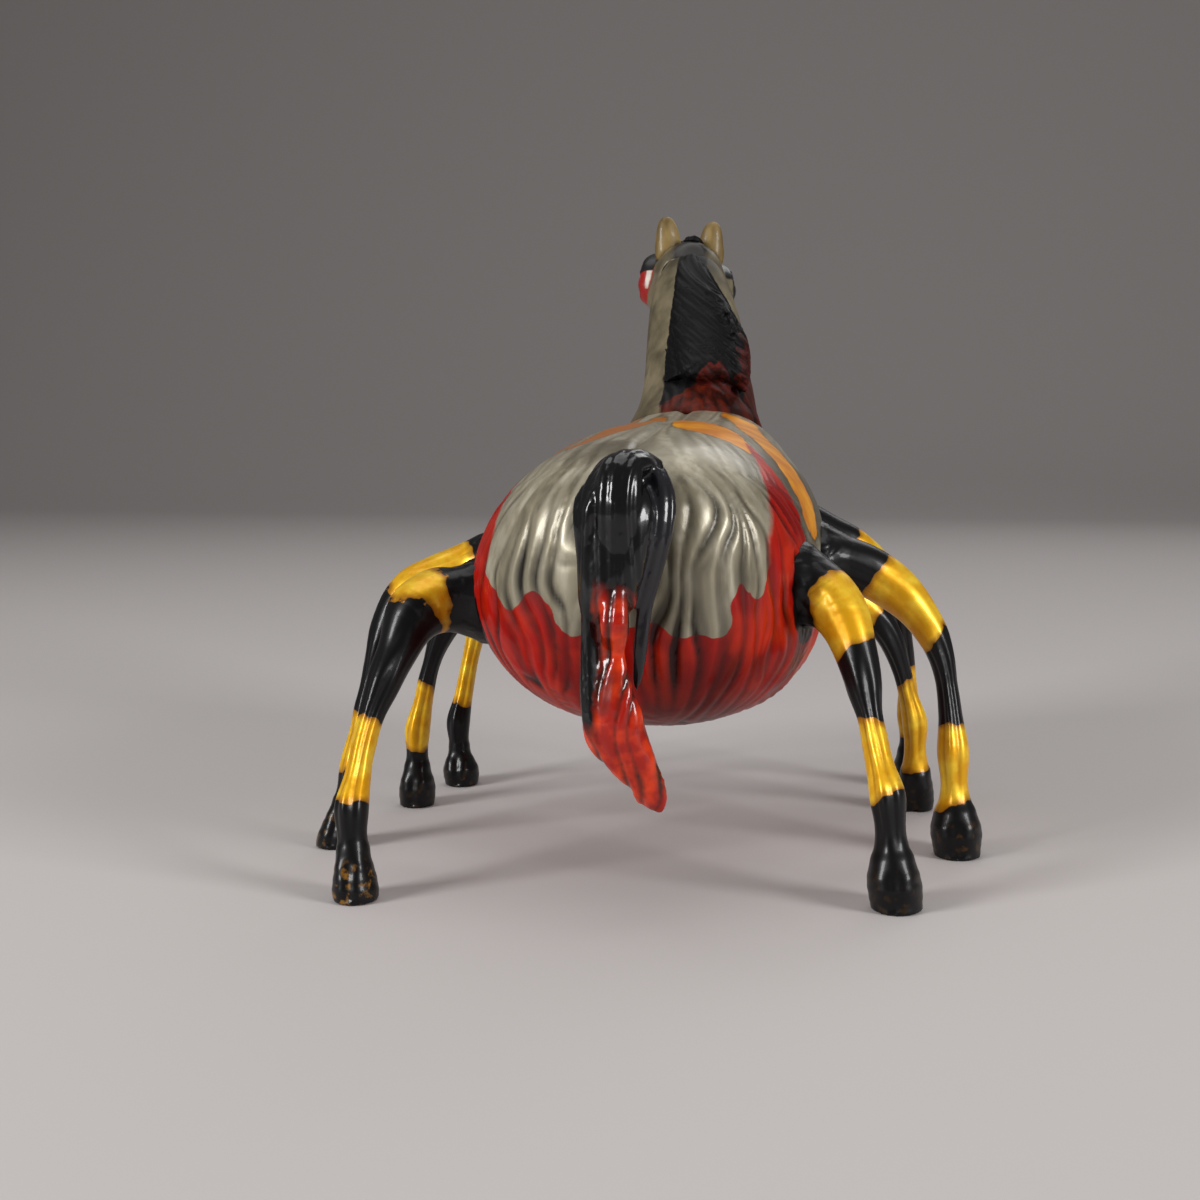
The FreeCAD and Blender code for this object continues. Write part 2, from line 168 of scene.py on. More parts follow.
# Outlines of the paints from the rear, in degrees across and up round a point inside the rump
taupe_outline = [
    (-178, 0), (-150, -12), (-120, -6), (-90, 2), (-84, 8), (-57, 6), (-48, -4), (-43, -7), (-39, -13),
    (-34, -11), (-32, -7), (-28, -5), (-24, -6), (-20, -10), (-20, -14), (-15, -19), (-8, -17), (0, -15),
    (7, -14), (12, -13), (15, -15), (18, -18), (22, -18), (26, -18), (32, -19), (35, -16), (36, -11),
    (37, -6), (40, -2), (42, -3), (44, -8), (48, -9), (50, -3), (53, 9), (84, 11), (104, 8), (125, -4),
    (150, -10), (178, 0), (160, 160), (0, 230), (-160, 160)]
red_outline = [(66, 84), (61, 56), (57, 36), (54, 22), (50, 4), (60, -4), (84, 0), (82, 11), (79, 23),
               (75, 35), (70, 51), (68, 73)]
orange_outlines = [
    [(16, 124), (24, 104), (42, 86), (54, 70), (60, 57), (66, 68), (70, 84), (67, 104), (58, 118), (44, 129),
     (30, 136), (12, 140)],
    [(46, 146), (60, 138), (73, 124), (80, 90), (80, 60), (83, 38), (86, 18), (105, 12), (107, 41),
     (103, 66), (101, 100), (84, 130), (66, 148), (48, 160)],
    [(0, 148), (-6, 124), (-16, 111), (-24, 98), (-25, 80), (-27, 62), (-37, 60), (-47, 76), (-53, 100),
     (-48, 126), (-34, 142), (-20, 152)],
    [(-40, 152), (-60, 120), (-76, 86), (-79, 54), (-84, 32), (-86, 17), (-103, 15), (-103, 40),
     (-101, 64), (-97, 100), (-76, 136), (-44, 168)]]
stripe_end = 154


def solid_of(name):
    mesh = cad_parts[name].data
    points = np.empty(len(mesh.vertices) * 3)
    mesh.vertices.foreach_get("co", points)
    return points.reshape(-1, 3) / MM, [tuple(face.vertices) for face in mesh.polygons]


# One even skin of small squares over some solids
def skin(solids, voxel, rounds):
    points, faces = [], []
    for solid_points, solid_faces in solids:
        start = len(points)
        points += [tuple(point) for point in solid_points]
        faces += [tuple(corner + start for corner in face) for face in solid_faces]
    rough = bpy.data.meshes.new("rough")
    rough.from_pydata(points, [], faces)
    rough_object = new_object("rough", rough)
    weld = rough_object.modifiers.new("weld", "WELD")
    weld.merge_threshold = 0.001
    remesh = rough_object.modifiers.new("remesh", "REMESH")
    remesh.mode = "VOXEL"
    remesh.voxel_size = voxel
    smooth = rough_object.modifiers.new("smooth", "SMOOTH")
    smooth.factor = 0.5
    smooth.iterations = rounds
    graph = bpy.context.evaluated_depsgraph_get()
    fine = bpy.data.meshes.new_from_object(rough_object.evaluated_get(graph))
    bpy.data.objects.remove(rough_object)
    bpy.data.meshes.remove(rough)
    points = np.empty(len(fine.vertices) * 3)
    fine.vertices.foreach_get("co", points)
    corners = np.empty(len(fine.loops), dtype=np.int32)
    fine.loops.foreach_get("vertex_index", corners)
    bpy.data.meshes.remove(fine)
    return points.reshape(-1, 3), corners.reshape(-1, 4)


def normals_of(points, faces):
    across = np.cross(points[faces[:, 2]] - points[faces[:, 0]], points[faces[:, 3]] - points[faces[:, 1]])
    normals = np.zeros_like(points)
    for corner in range(4):
        np.add.at(normals, faces[:, corner], across)
    return normals / np.maximum(np.linalg.norm(normals, axis=1, keepdims=True), 1e-12)


# Values at the points, or the points themselves, evened out over their faces
def soothed(values, faces, rounds):
    share = np.bincount(faces.ravel(), minlength=len(values))
    for _ in range(rounds):
        total = np.zeros_like(values)
        middle = values[faces].mean(axis=1)
        for corner in range(4):
            np.add.at(total, faces[:, corner], middle)
        values = (total.T / share).T
    return values


# A smooth wander between -1 and 1: each whole place draws its value from a hash, and others blend
def noise(places, seed):
    cell = np.floor(places).astype(np.int64)
    part = places - cell
    part = part * part * (3 - 2 * part)
    total = np.zeros(len(places))
    for corner in range(8):
        step = np.array([corner & 1, corner >> 1 & 1, corner >> 2 & 1])
        spot = cell + step
        mixed = spot[:, 0] * 73856093 ^ spot[:, 1] * 19349663 ^ spot[:, 2] * 83492791 ^ seed * 2654435761
        mixed = (mixed ^ mixed >> 15) * 2246822519 & 0xffffffff
        mixed = (mixed ^ mixed >> 13) * 3266489917 & 0xffffffff
        value = (mixed >> 8 & 0xffff) / 32767.5 - 1
        total += value * np.prod(np.where(step == 1, part, 1 - part), axis=1)
    return total


# Rounded ridges with a sharp valley at each whole number of a phase: 0 on a ridge, 1 in a valley
def valleys(phase):
    return 1.2 * (1 - (np.sin(math.pi * phase) ** 2 + 0.006) ** 0.3)


def hump(value, middle, half):
    return np.exp(-((value - middle) / half) ** 2)


def ramp(value, low, high):
    share = np.clip((value - low) / (high - low), 0, 1)
    return share * share * (3 - 2 * share)


def window(value, low, high, soft):
    return ramp(value, low - soft, low + soft) * (1 - ramp(value, high - soft, high + soft))


def rear_map(places):
    out = places - map_centre
    turn = np.degrees(np.arccos(np.clip(-out[:, 1] / np.linalg.norm(out, axis=1), -1, 1)))
    flat = np.hypot(out[:, 0], out[:, 2])
    return turn * out[:, 0] / flat, turn * out[:, 2] / flat


# An outline with its corners cut twice
def rounded(outline):
    for _ in range(2):
        cut = []
        for (x0, y0), (x1, y1) in zip(outline, outline[1:] + outline[:1]):
            cut.append((0.75 * x0 + 0.25 * x1, 0.75 * y0 + 0.25 * y1))
            cut.append((0.25 * x0 + 0.75 * x1, 0.25 * y0 + 0.75 * y1))
        outline = cut
    return outline


# Distance inside a closed outline, less than nothing outside it
def inside(outline, across, up):
    nearest = np.full(len(across), np.inf)
    odd = np.zeros(len(across), dtype=bool)
    for (x0, y0), (x1, y1) in zip(outline, outline[1:] + outline[:1]):
        share = np.clip(((across - x0) * (x1 - x0) + (up - y0) * (y1 - y0)) /
                        ((x1 - x0) ** 2 + (y1 - y0) ** 2), 0, 1)
        nearest = np.minimum(nearest, np.hypot(across - x0 - share * (x1 - x0), up - y0 - share * (y1 - y0)))
        if y0 != y1:
            crosses = (y0 > up) != (y1 > up)
            odd ^= crosses & (across < x0 + (up - y0) * (x1 - x0) / (y1 - y0))
    return np.where(odd, nearest, -nearest)


# Numbers kept at a mesh's points, for its paint to read
def keep(mesh, **fields):
    for key, values in fields.items():
        kept = mesh.attributes.new(key, "FLOAT", "POINT")
        kept.data.foreach_set("value", values.astype(np.float32))


def make_piece(name, points, faces, material, slot, replaced, **fields):
    mesh = bpy.data.meshes.new(name)
    mesh.vertices.add(len(points))
    mesh.vertices.foreach_set("co", (points * MM).ravel())
    mesh.loops.add(faces.size)
    mesh.loops.foreach_set("vertex_index", faces.ravel().astype(np.int32))
    mesh.polygons.add(len(faces))
    mesh.polygons.foreach_set("loop_start", np.arange(len(faces), dtype=np.int32) * faces.shape[1])
    mesh.polygons.foreach_set("use_smooth", np.ones(len(faces), dtype=bool))
    mesh.update()
    mesh.validate()
    keep(mesh, **fields)
    mesh.materials.append(material)
    made = new_object(name, mesh)
    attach(made, "root")
    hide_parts(*replaced)
    return made


# Mottling or bristle marks of a size in millimetres. Real marks are about 0.2 mm wide: these are drawn
# several times as coarse, so that they show.
def grain(tree, size_mm, detail=2.0, stretch=(1, 1, 1)):
    places = add(tree, "Mapping", add(tree, "TexCoord", out="Object"), Scale=stretch)
    return add(tree, "TexNoise", places, Scale=1 / (size_mm * MM), Detail=detail)


# A number kept at the points, with the wander of a hand-held brush: how long a wave is, and how far
# it reaches to each side
def wobbled(tree, name, wave_mm, reach):
    centred = add(tree, "Math", grain(tree, wave_mm), 0.5, operation="SUBTRACT")
    wander = add(tree, "Math", centred, 2 * reach, operation="MULTIPLY")
    return add(tree, "Math", add(tree, "Attribute", out="Fac", attribute_name=name), wander, operation="ADD")


points, faces = skin([solid_of("body")], voxel=0.38, rounds=3)
across, up = rear_map(points)

# Grooves fan out from above the tail as lines do on a globe. They bend, come and go in depth, are
# deepest beside the tail, and grow shallow over the croup and towards the front.
flow = (across - 3) / np.sqrt(np.clip(1 - ((up + 10) / 60) ** 2, 0.36, 1))
still = np.zeros(len(points))
bend = noise(np.stack([flow / 12, up / 24, still], 1), 3)
bend_more = noise(np.stack([flow / 7, up / 14, still + 4], 1), 5)
strength = 0.5 + 0.5 * noise(np.stack([flow / 9, up / 24, still + 7], 1), 8)
phase = flow / groove_degrees + 1.2 * bend + 0.3 * bend_more
fine = valleys(2.3 * phase + 0.25 * bend_more) * (1 - 0.5 * strength) * (1 - ramp(up, 0, 24))
near_tail = hump(across, 15, 12) * window(up, -35, 18, 12)
carve = -groove_depth * valleys(phase) * (0.25 + 0.75 * strength) * (1 + 0.5 * near_tail)
carve = (carve - fine_depth * fine) * (1 - 0.75 * ramp(up, 15, 50))
carve = sharpening * soothed(carve, faces, 1) * (1 - 0.65 * ramp(np.hypot(across, up), 75, 125))

# The spine's furrow, low lumps of muscle, and finer ones where the belly turns in by the right thigh
spine = hump(points[:, 0] - 1.2, 0, 0.75) * ramp(points[:, 2], 45, 50) * ramp(points[:, 1], -44, -38)
low_right = ramp(across, 35, 65) * ramp(-up, 15, 35)
depth = lift + carve * (1 - 0.35 * ramp(-up, 12, 40)) + muscle_height * noise(points / 12, 4)
depth += lump_height * low_right * noise(points / 3.4, 9) - spine_depth * spine
body_points = points + normals_of(points, faces) * depth[:, None]
body_tree = BVHTree.FromPolygons([tuple(point) for point in body_points], faces.tolist())

# Each paint as a distance inside its outline in millimetres, over how softly it fades there
mirrored_red = [(-x, y) for x, y in red_outline]
brush = 0.30 * noise(points / 1.5, 14) + 0.16 * noise(points / 0.7, 15)
taupe = inside(rounded(taupe_outline), across, up) * degree_mm + brush
taupe_soft = 0.10 + 1.1 * ramp(up, -2, 12) * ramp(np.abs(across), 40, 52)
red = np.maximum(inside(rounded(red_outline), across, up), inside(rounded(mirrored_red), across, up))
red_soft = 0.10 + 0.9 * ramp(70 - np.abs(across), 0, 10)
orange = np.max([inside(rounded(outline), across, up) for outline in orange_outlines], axis=0)
orange = np.minimum(orange, stripe_end - np.hypot(across, up)) * degree_mm + 1.6 * brush
# Painted shade: darker taupe on both flanks, beside the tail on its right, and on the croup above the tail's
# root
shade = (ramp(np.abs(across), 34, 75) * ramp(up, -5, 30) * (1 - 0.8 * ramp(up, 60, 80))
         + 0.8 * hump(across, 17, 7) * ramp(up, -22, -8) * (1 - ramp(up, 15, 35))
         + 0.9 * hump(across, -6, 16) * window(up, 38, 62, 6))

# Acrylic paints with some pearl powder under thin clear lacquer: the taupe gleams softly along its
# ridges, a dark wash lies in the grooves, the red stays deep, and a thin wet shine goes over both.
# Painted shade darkens the taupe on the flanks, beside the tail and on the croup, and the red under the
# belly, and painted light brightens the orange on the right flank
body_paint, tree = new_material("pearl_taupe_and_red_lacquer")
groove, ridge, shaded, dusk, sunny = (add(tree, "Attribute", out="Fac", attribute_name=name)
                                      for name in ("hollow", "ridge", "shade", "dusk", "sunny"))
on_ridge = add(tree, "MapRange", ridge, -0.5, 0.5)
streaks = add(tree, "MapRange", grain(tree, 1.2, 3, (1, 1, 0.35)), 0.35, 0.7)
shaded = add(tree, "Math", shaded, 0.8, operation="MULTIPLY")
pearl = add(tree, "MixRGB", on_ridge, linear("#6e6858"), linear("#aea794"))
pearl = add(tree, "MixRGB", streaks, pearl, linear("#8d8570"))
pearl = add(tree, "MixRGB", add(tree, "MapRange", groove, 0.10, 0.38), pearl, linear("#1f1b16"))
# Painted shade: the taupe goes dark brown where shade is high
pearl = add(tree, "MixRGB", shaded, pearl, linear("#453e30"))
patches = add(tree, "MapRange", grain(tree, 6, 2), 0.45, 0.65)
# Painted shade: the red goes nearly black under the belly, on its right half
dusk = add(tree, "Math", dusk, 0.6, operation="MULTIPLY")
scarlet = add(tree, "MixRGB", on_ridge, linear("#780602"), linear("#a80d03"))
scarlet = add(tree, "MixRGB", patches, scarlet, linear("#b32204"))
scarlet = add(tree, "MixRGB", dusk, scarlet, linear("#3a0301"))
scarlet = add(tree, "MixRGB", add(tree, "MapRange", groove, 0.12, 0.45), scarlet, linear("#240301"))
clouds = add(tree, "MapRange", grain(tree, 5, 3), 0.4, 0.65)
amber = add(tree, "MixRGB", clouds, linear("#cf7a08"), linear("#f0a414"))
# Painted light: the orange is bright gold on the right flank and dull brown on the left
amber = add(tree, "MixRGB", sunny, linear("#ac6420"), amber)
amber = add(tree, "MixRGB", add(tree, "MapRange", groove, 0.10, 0.45), amber, linear("#5a3608"))
is_taupe = add(tree, "MapRange", wobbled(tree, "taupe", 1.6, 1.2), -0.5, 0.5)
is_red = add(tree, "MapRange", wobbled(tree, "red_stripe", 2.0, 0.6), -0.5, 0.5)
is_root = add(tree, "MapRange", wobbled(tree, "root", 1.8, 0.5), -0.12, 0.12)
orange_edge = wobbled(tree, "orange", 1.8, 0.5)
is_orange = add(tree, "MapRange", orange_edge, -0.12, 0.30)
round_orange = add(tree, "Math", add(tree, "MapRange", orange_edge, -0.7, -0.15), 0.6, operation="MULTIPLY")
tone = add(tree, "MixRGB", is_taupe, scarlet, pearl)
tone = add(tree, "MixRGB", round_orange, tone, linear("#40331c"))
tone = add(tree, "MixRGB", is_orange, tone, amber)
tone = add(tree, "MixRGB", is_red, tone, scarlet)
tone = add(tree, "MixRGB", is_root, tone, linear("#060505"))
gleam = add(tree, "Math", is_taupe, 0.25, operation="MULTIPLY")
shader = add(tree, "BsdfPrincipled", Base_Color=tone, Metallic=gleam, Roughness=0.36,
             Specular_IOR_Level=0.2, Coat_Weight=0.18, Coat_Roughness=0.13)
add(tree, "OutputMaterial", shader)
body_casting = make_piece(
    "body_casting", body_points, faces, body_paint, "body_paint", ["body"],
    taupe=taupe / taupe_soft, red_stripe=(red * degree_mm + brush) / red_soft, orange=orange,
    hollow=-carve, shade=np.clip(shade, 0, 1), sunny=ramp(across, -14, 14),
    dusk=ramp(-up, 14, 34) * window(across, 3, 44, 9),
    ridge=noise(np.stack([flow / 4, up / 30, still + 2], 1), 6))

# Legs. Eight slender resin castings, each on a steel core wire and glued in its hole in the body, then
# banded by brush in black and pearl yellow. A line is followed from the sole up to the hip, and the leg
# is carved and painted by the distance along it, in millimetres.

# For each leg: where the first yellow band begins and ends and where the second does, each with its
# lean from the outer side to the inner, then how worn the hoof is, and the black's margin on the body
leg_bands = {
    "right_hind_leg": ((12.0, 1.0, 21.0, -0.6, 28.8, 0.9, 35.7, 1.6), 0.1, 1.1),
    "left_hind_leg": ((10.6, 0.1, 20.3, 0.2, 33.8, -1.2, 36.6, 0.6), 1.0, 0.7),
    "right_rear_middle_leg": ((6.5, 1.0, 15.9, 0.1, 26.3, 1.1, 37.7, -0.3), 0.2, 0.3),
    "left_rear_middle_leg": ((9.5, -0.4, 16.6, 0.3, 31.0, 0.8, 42.0, 0.6), 0.5, 0.3),
    "right_front_middle_leg": ((6.1, 0.3, 18.7, 0.4, 28.2, 0.6, 35.0, 0.4), 0.1, 0.3),
    "left_front_middle_leg": ((8.0, 0.4, 17.1, 0.3, 27.0, 0.5, 35.0, 0.6), 0.1, 0.3),
    "right_foreleg": ((8.0, 0.4, 18.0, 0.5, 31.2, 0.7, 37.8, 0.5), 0.1, 0.3),
    "left_foreleg": ((11.8, 0.4, 22.5, 0.4, 33.0, 0.5, 39.0, 0.6), 0.2, 0.3),
}
hip_length, root_length, root_drop = 14, 9, 0.9
fillet_reach, hind_spread, other_spread = 3.6, 1.8, 1.3
sinew_depth, swell_height, tendon_height, knee_height = 0.20, 0.14, 0.24, 0.20
hoof_rim_height, hoof_ring_height, cleft_depth, heel_height = 0.10, 0.02, 0.35, 0.14
fold_under = 0.7


def unit(vectors):
    return vectors / np.maximum(np.linalg.norm(vectors, axis=-1, keepdims=True), 1e-12)


# Heights of the chosen points over the body's skin, and the way out of it
def over_body(points, chosen):
    found = [body_tree.find_nearest(tuple(point)) if near else (point, (0, 0, 1), 0, 0)
             for point, near in zip(points, chosen)]
    outs = np.array([tuple(one[1]) for one in found])
    heights = ((points - np.array([tuple(one[0]) for one in found])) * outs).sum(axis=1)
    return np.where(chosen, heights, np.inf), outs


# A casting's end that meets the body spreads over it in a fillet and dips under its skin
def seat(points, radial, close, reach, spread):
    heights, _ = over_body(points, close)
    flare = np.clip(1 - np.maximum(heights, 0) / reach, 0, 1) ** 2
    moved = points + radial * (spread * flare)[:, None]
    flared = flare > 0
    now, outs = over_body(moved, flared)
    rise = np.zeros(len(points))
    wanted = heights[flared] - fold_under * np.clip(1 - heights[flared] / fold_under, 0, 1)
    rise[flared] = (wanted - now[flared]) * np.clip(3 * flare[flared], 0, 1)
    return moved + outs * rise[:, None], heights


# The middle line of a leg, in steps of a millimetre, each through the mean of a thin slice
def follow(points, slice_half=0.6, reach=6.0, most_steps=90, fewest_points=12):
    sole = points[points[:, 2] < slice_half]
    line = [np.array((sole[:, 0].mean(), sole[:, 1].mean(), 0))]
    ahead = np.array((0, 0, 1.0))
    while len(line) < most_steps:
        offset = points - (line[-1] + ahead)
        near = (np.abs(offset @ ahead) < slice_half) & (np.linalg.norm(offset, axis=1) < reach)
        if near.sum() < fewest_points:
            break
        line.append(points[near].mean(axis=0))
        ahead = unit(line[-1] - line[max(0, len(line) - 5)])
    line = np.array(line)
    for _ in range(3):
        line[1:-1] = (line[:-2] + 2 * line[1:-1] + line[2:]) / 4
    return line


def along_line(points, line):
    steps = np.linalg.norm(np.diff(line, axis=0), axis=1)
    lengths = np.concatenate([[0], np.cumsum(steps)])
    nearest = np.linalg.norm(points[:, None] - line[None], axis=2).argmin(axis=1)
    out = points - line[nearest]
    run = unit(np.gradient(line, axis=0))[nearest]
    extra = (out * run).sum(axis=1)
    return lengths[nearest] + extra, out - run * extra[:, None], run


# Dense black and a yellow with pearl powder, under thin lacquer: the black shines in narrow lines, and
# the yellow gleams like old brass and goes brown at its edges, in its hollows and where a hoof is worn
leg_paint, tree = new_material("black_and_pearl_yellow_lacquer")
groove, worn = (add(tree, "Attribute", out="Fac", attribute_name=name) for name in ("hollow", "worn"))
band = wobbled(tree, "yellow", 1.3, 0.22)
is_yellow = add(tree, "MapRange", band, -0.05, 0.05)
mottling = add(tree, "MapRange", grain(tree, 2.6, 3), 0.42, 0.68)
ochre = add(tree, "MixRGB", mottling, linear("#dfa212"), linear("#f7cd38"))
ochre = add(tree, "MixRGB", add(tree, "MapRange", groove, 0.06, 0.34), ochre, linear("#8a560a"))
ochre = add(tree, "MixRGB", add(tree, "MapRange", band, 0.9, 0.05), ochre, linear("#9a6410"))
chips = add(tree, "MapRange", grain(tree, 1.0, 4), 0.56, 0.68)
chips = add(tree, "Math", chips, worn, operation="MULTIPLY")
black = add(tree, "MixRGB", chips, linear("#060506"), linear("#7c5416"))
tone = add(tree, "MixRGB", is_yellow, black, ochre)
gleam = add(tree, "Math", is_yellow, 0.35, operation="MULTIPLY")
shader = add(tree, "BsdfPrincipled", Base_Color=tone, Metallic=gleam, Roughness=0.38,
             Specular_IOR_Level=0.2, Coat_Weight=0.18, Coat_Roughness=0.14)
add(tree, "OutputMaterial", shader)

roots = np.full(len(body_points), -9.0)
for name, (edges, wear, root_margin) in leg_bands.items():
    hind = "hind" in name
    points, faces = skin([solid_of(name)], voxel=0.24, rounds=3)
    normals = normals_of(points, faces)
    distance, out, run = along_line(points, follow(points))
    radial = unit(out)
    deep = unit(np.array((0, 1.0, 0)) - run * run[:, 1:2])
    back = -(radial * deep).sum(axis=1)
    aside = (radial * np.cross(run, deep)).sum(axis=1)
    length = distance.max()
    turn = np.arctan2(aside, back)
    degrees = np.degrees(turn)

    # Soft muscle and sinews above the shank, and a tendon down the back of it
    sway = noise(np.stack([aside * 1.5, back * 1.5, distance / 10], 1), 11)
    sinew = valleys(5 * turn / (2 * math.pi) + 0.7 * sway)
    carve = swell_height * noise(points / 3.4, 12) - sinew_depth * sinew * (0.5 + 0.5 * sway)
    carve *= ramp(distance, 12, 18)
    tendon = hump(degrees, 8, 12) - 0.8 * hump(degrees, -20, 11) - 0.8 * hump(degrees, 36, 11)
    carve += tendon_height * tendon * window(distance, 8, 27, 3)

    # Thigh and knee, then the hoof with its upper rim, growth rings, cleft and two heels
    thigh_height = 1.6 if name == "left_hind_leg" else 0.4
    carve += thigh_height * window(distance, 31, 40, 3) * ramp(radial[:, 2], 0.1, 0.9)
    carve += knee_height * hump(distance, 0.56 * length, 2.6) * (0.5 + 0.5 * back)
    carve += hoof_rim_height * window(distance, 5.2, 6.2, 0.5)
    carve += hoof_ring_height * np.cos(distance * 5) * window(distance, 0.8, 4.6, 0.5)
    carve -= cleft_depth * hump(aside, 0, 0.22) * ramp(back, 0.3, 0.7) * window(distance, -1, 4.2, 0.8)
    heels = hump(np.abs(aside), 0.55, 0.25) * ramp(back, 0.2, 0.6)
    carve += heel_height * heels * hump(distance, 4.0, 1.4)
    carve *= ramp(distance, 0.0, 0.4)

    # The root spreads on the body in a fillet, and its black paint a little further
    plain = points + normals * carve[:, None]
    near_hip = distance > length - hip_length
    points, tops = seat(plain, radial, near_hip, fillet_reach, hind_spread if hind else other_spread)
    points[:, 2] = np.maximum(points[:, 2], 0)
    root = plain[(tops < fold_under) & (distance > length - root_length)]
    middle = root.mean(axis=0) - (0, 0, root_drop)
    spread = np.linalg.norm(root - middle, axis=1).max() + root_margin
    roots = np.maximum(roots, spread - np.linalg.norm(body_points - middle, axis=1))

    first, lean_1, second, lean_2, third, lean_3, fourth, lean_4 = edges
    side = 1 if name.startswith("right") else -1
    tilt = (radial[:, 0] * side + radial[:, 2]) / math.sqrt(2)
    lower = np.minimum(distance - first - lean_1 * tilt, second + lean_2 * tilt - distance)
    higher = np.minimum(distance - third - lean_3 * tilt, fourth + lean_4 * tilt - distance)
    yellow = np.maximum(lower, higher) + 0.35 * noise(points / 0.9, 16) + 0.3 * noise(points / 2, 17)
    make_piece(name + "_casting", points, faces, leg_paint, "leg_paint", [name],
               yellow=yellow, hollow=np.clip(-carve, 0, 1), worn=wear * (1 - ramp(distance, 2.5, 5.5)))
keep(body_casting.data, root=roots)

# Neck. A resin casting on a steel pin, set in the body with a fillet, in taupe over soft muscle. The
# mane's black paint runs on down its back to a slanted, ragged line, with rust red below it.
strand_depth, fold_depth, swell_height = 0.28, 0.10, 0.30
fillet_reach, fillet_spread, fillet_top = 2.4, 1.0, 60
left_hair, right_hair, hair_top = -2.6, 11.5, 62
black_right, poll_middle, poll_half, poll_low = 8.5, -0.4, 2.2, 75.5


# How far below the slanted end of the black hair a place is
def hair_end(places):
    slant = 57.4 + 0.86 * (places[:, 0] - 0.6)
    slant = np.where(places[:, 0] > 5.6, 61.7 - 2.2 * (places[:, 0] - 5.6), slant)
    return slant - places[:, 2] + 0.9 * noise(places / (1.0, 1.0, 2.2), 24)


# Acrylic paint with hardly any lacquer left on it: cloudy, dull, and nearly without highlights
neck_paint, tree = new_material("taupe_lacquer")
groove, low = (add(tree, "Attribute", out="Fac", attribute_name=name) for name in ("hollow", "low"))
clouds = add(tree, "MapRange", grain(tree, 4, 3), 0.35, 0.65)
tone = add(tree, "MixRGB", clouds, linear("#4d4636"), linear("#776d56"))
tone = add(tree, "MixRGB", add(tree, "MapRange", groove, 0.08, 0.35), tone, linear("#29241a"))
# Painted shade: the taupe darkens to brown towards the neck's base, where it meets the body
tone = add(tree, "MixRGB", add(tree, "Math", low, 0.6, operation="MULTIPLY"), tone, linear("#2b2015"))
bristles = add(tree, "MapRange", grain(tree, 1.4, 3, (1, 1, 0.4)), 0.35, 0.65)
rust = add(tree, "MixRGB", bristles, linear("#240804"), linear("#561808"))
rust = add(tree, "MixRGB", add(tree, "MapRange", groove, 0.05, 0.30), rust, linear("#1c0906"))
is_rust = add(tree, "MapRange", wobbled(tree, "rust", 1.6, 0.3), -0.2, 0.2)
is_dark = add(tree, "MapRange", wobbled(tree, "dark", 1.6, 0.3), -0.1, 0.1)
tone = add(tree, "MixRGB", is_rust, tone, rust)
tone = add(tree, "MixRGB", is_dark, tone, linear("#0a090a"))
shader = add(tree, "BsdfPrincipled", Base_Color=tone, Roughness=0.5, Specular_IOR_Level=0.16)
add(tree, "OutputMaterial", shader)

points, faces = skin([solid_of("neck")], voxel=0.36, rounds=3)
normals = normals_of(points, faces)
folds = noise(np.stack([points[:, 0] / 4, points[:, 1] / 4, points[:, 2] / 9], 1), 21)
hair = valleys(points[:, 0] / 1.7 + 0.25 * points[:, 2] + 0.6 * noise(points / 3, 25))
hair_zone = ramp(points[:, 0], -2.9, -2.2) * (1 - ramp(points[:, 2], 60, 64))
hair_zone = hair_zone * ramp(-normals[:, 1], -0.2, 0.1)
carve = swell_height * noise(points / 8, 22) - fold_depth * valleys(1.6 * folds)
carve -= strand_depth * hair * hair_zone
hair_side = np.minimum(points[:, 0] - left_hair, right_hair - points[:, 0])
hair_side = np.where(normals[:, 1] < 0.25, hair_side + 0.5 * noise(points / 1.5, 23), -3)
rust_field = np.minimum(hair_side, hair_top - points[:, 2])
dark_field = np.minimum(np.minimum(rust_field, -hair_end(points)), black_right - points[:, 0])
poll_black = np.minimum(poll_half - np.abs(points[:, 0] - poll_middle), points[:, 2] - poll_low)
dark_field = np.maximum(dark_field, poll_black)
points = points + normals * carve[:, None]
outward = unit((points - points.mean(axis=0)) * (1, 1, 0))
points, _ = seat(points, outward, points[:, 2] < fillet_top, fillet_reach, fillet_spread)
neck_tree = BVHTree.FromPolygons([tuple(point) for point in points], faces.tolist())
# The low field is the painted shade at the neck's base
make_piece("neck_casting", points, faces, neck_paint, "neck_paint", ["neck"],
           hollow=np.clip(-carve, 0, 1), rust=rust_field, dark=dark_field,
           low=1 - ramp(points[:, 2], 50, 60))

# Head. A resin casting pinned on the neck, drooping and turned to the left, with ridged brows, round
# cheeks, swollen lids, nostrils and a closed mouth, and patches of black, white and red paint.
head_ahead = unit(np.array((-0.197, 0.763, -0.616)))
head_right = unit(np.array((0.980, 0.176, -0.096)))
head_crown = np.cross(head_right, head_ahead)

# Forms of each side: place along the head from the poll, out from its middle and up towards the
# forehead, then radius and height
head_forms = {
    "brow": ((8.0, 4.9, 3.6), 1.7, 0.45),
    "dip_before_eye": ((12.0, 4.2, 1.6), 2.2, -0.35),
    "cheek": ((8.5, 5.0, -4.2), 3.4, 0.45),
    "dip_before_cheek": ((14.5, 3.6, -2.6), 2.2, -0.35),
    "nostril_rim": ((24.6, 2.9, 0.9), 1.6, 0.35),
    "nostril": ((25.2, 3.1, 0.9), 0.8, -0.95),
    "chin": ((24.0, 0.6, -3.0), 1.7, 0.3),
    "dip_behind_cheek": ((4.2, 4.4, -2.0), 1.8, -0.3),
}
mouth_depth, mouth_level, swell_height = 0.40, -1.1, 0.10
eye_along, lid_radius, lid_hollow_radius, lid_hollow_depth = 8.7, 3.5, 1.7, 1.6
points, faces = skin([solid_of("head")], voxel=0.24, rounds=12)
